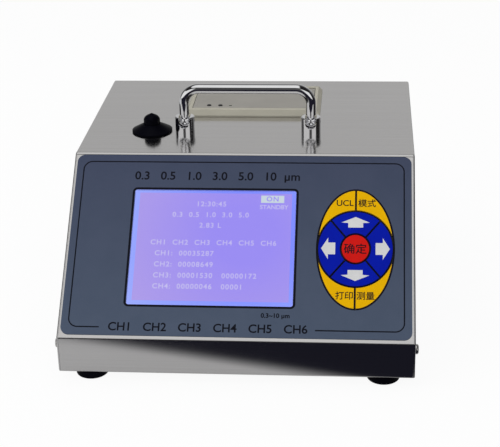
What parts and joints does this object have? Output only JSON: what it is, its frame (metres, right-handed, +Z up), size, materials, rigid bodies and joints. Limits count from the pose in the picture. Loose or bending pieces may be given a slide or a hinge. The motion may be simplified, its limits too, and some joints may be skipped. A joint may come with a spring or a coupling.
{
  "type": "airborne particle counter",
  "caption": "Bench particle counter: folded steel case, sloped display and keypad panel, folding handle, capped air inlet on top and a paper printer with an opening door.",
  "frame": {"origin": "on the resting plane, below the centre of the whole instrument's outline", "axes": "+X to the right seen from the keypad side, +Y to the back, +Z up"},
  "size_m": [0.2648, 0.3034, 0.1748],
  "materials": {
    "stainless": "satin",
    "chrome": "polished",
    "steel": "plain",
    "black_rubber": "matt",
    "overlay_film": "printed film",
    "key_yellow": "printed film",
    "key_blue": "printed film",
    "key_red": "printed film",
    "window": "clear",
    "beige_plastic": "moulded",
    "black_plastic": "moulded",
    "board": "circuit board",
    "paper": "plain",
    "anodised": "anodised",
    "lamp": "clear",
    "hose": "silicone",
    "brass": "plated"
  },
  "bodies": {
    "case": {"air_pump": "anodised", "back_panel": "stainless", "chassis": "stainless", "cover": "stainless", "display_module": "black_plastic", "display_window": "window", "exhaust_filter": "black_plastic", "exhaust_fitting": "brass", "exhaust_hose": "hose", "filter_hose": "hose", "foot_left_front": "black_rubber", "foot_left_rear": "black_rubber", "foot_right_front": "black_rubber", "foot_right_rear": "black_rubber", "inlet_hose": "hose", "inlet_nozzle": "steel", "inlet_nut": "steel", "keypad_circuit": "black_plastic", "laser_holder": "anodised", "main_board": "board", "optical_sensor": "anodised", "overlay": "overlay_film", "paper_roll": "paper", "pivot_pin_left": "steel", "pivot_pin_right": "steel", "post_left": "chrome", "post_nut_left": "steel", "post_nut_right": "steel", "post_right": "chrome", "power_inlet": "black_plastic", "power_supply": "steel", "print_head": "steel", "printer_body": "beige_plastic", "pump_hose": "hose", "screw_left_front": "steel", "screw_left_rear": "steel", "screw_right_front": "steel", "screw_right_rear": "steel", "serial_port": "black_plastic", "switch_body": "black_plastic", "tear_bar": "steel"},
    "handle": {"handle": "chrome"},
    "inlet_cap": {"inlet_cap": "black_rubber"},
    "printer_door": {"printer_door": "beige_plastic", "button_board": "board", "status_lamp": "lamp"},
    "platen": {"platen": "black_rubber"},
    "feed_button": {"feed_button": "black_plastic"},
    "select_button": {"select_button": "black_plastic"},
    "power_rocker": {"power_rocker": "black_plastic"},
    "key_up": {"key_up": "key_blue"},
    "key_down": {"key_down": "key_blue"},
    "key_left": {"key_left": "key_blue"},
    "key_right": {"key_right": "key_blue"},
    "key_top_left": {"key_top_left": "key_yellow"},
    "key_top_right": {"key_top_right": "key_yellow"},
    "key_bottom_left": {"key_bottom_left": "key_yellow"},
    "key_bottom_right": {"key_bottom_right": "key_yellow"},
    "key_centre": {"key_centre": "key_red"}
  },
  "joints": [
    {"name": "handle_fold", "type": "hinge", "parent": "case", "child": "handle", "pos_m": [0, 0.01225, 0.1445], "axis": [1, 0, 0], "range_deg": [-90, 90]},
    {"name": "cap_lift", "type": "slide", "parent": "case", "child": "inlet_cap", "axis": [0, 0, 1], "range_m": [0, 0.03]},
    {"name": "printer_door_open", "type": "hinge", "parent": "case", "child": "printer_door", "pos_m": [0, 0.05425, 0.1394], "axis": [1, 0, 0], "range_deg": [0, 95]},
    {"name": "platen_spin", "type": "hinge", "parent": "printer_door", "child": "platen", "pos_m": [0, 0.09765, 0.1334], "axis": [1, 0, 0], "continuous": true},
    {"name": "feed_button_press", "type": "slide", "parent": "printer_door", "child": "feed_button", "axis": [0, 0, -1], "range_m": [0, 0.0005], "stiffness_N_per_m": 600, "springref_m": -0.0003},
    {"name": "select_button_press", "type": "slide", "parent": "printer_door", "child": "select_button", "axis": [0, 0, -1], "range_m": [0, 0.0005], "stiffness_N_per_m": 600, "springref_m": -0.0003},
    {"name": "power_rocker_flip", "type": "hinge", "parent": "case", "child": "power_rocker", "pos_m": [0.046, 0.13975, 0.0437], "axis": [1, 0, 0], "range_deg": [-16, 0]},
    {"name": "key_up_press", "type": "slide", "parent": "case", "child": "key_up", "axis": [0, 0.6671, -0.7449], "range_m": [0, 0.0003], "stiffness_N_per_m": 500, "springref_m": -0.0002},
    {"name": "key_down_press", "type": "slide", "parent": "case", "child": "key_down", "axis": [0, 0.6671, -0.7449], "range_m": [0, 0.0003], "stiffness_N_per_m": 500, "springref_m": -0.0002},
    {"name": "key_left_press", "type": "slide", "parent": "case", "child": "key_left", "axis": [0, 0.6671, -0.7449], "range_m": [0, 0.0003], "stiffness_N_per_m": 500, "springref_m": -0.0002},
    {"name": "key_right_press", "type": "slide", "parent": "case", "child": "key_right", "axis": [0, 0.6671, -0.7449], "range_m": [0, 0.0003], "stiffness_N_per_m": 500, "springref_m": -0.0002},
    {"name": "key_top_left_press", "type": "slide", "parent": "case", "child": "key_top_left", "axis": [0, 0.6671, -0.7449], "range_m": [0, 0.0003], "stiffness_N_per_m": 500, "springref_m": -0.0002},
    {"name": "key_top_right_press", "type": "slide", "parent": "case", "child": "key_top_right", "axis": [0, 0.6671, -0.7449], "range_m": [0, 0.0003], "stiffness_N_per_m": 500, "springref_m": -0.0002},
    {"name": "key_bottom_left_press", "type": "slide", "parent": "case", "child": "key_bottom_left", "axis": [0, 0.6671, -0.7449], "range_m": [0, 0.0003], "stiffness_N_per_m": 500, "springref_m": -0.0002},
    {"name": "key_bottom_right_press", "type": "slide", "parent": "case", "child": "key_bottom_right", "axis": [0, 0.6671, -0.7449], "range_m": [0, 0.0003], "stiffness_N_per_m": 500, "springref_m": -0.0002},
    {"name": "key_centre_press", "type": "slide", "parent": "case", "child": "key_centre", "axis": [0, 0.6671, -0.7449], "range_m": [0, 0.0003], "stiffness_N_per_m": 500, "springref_m": -0.0002}
  ]
}
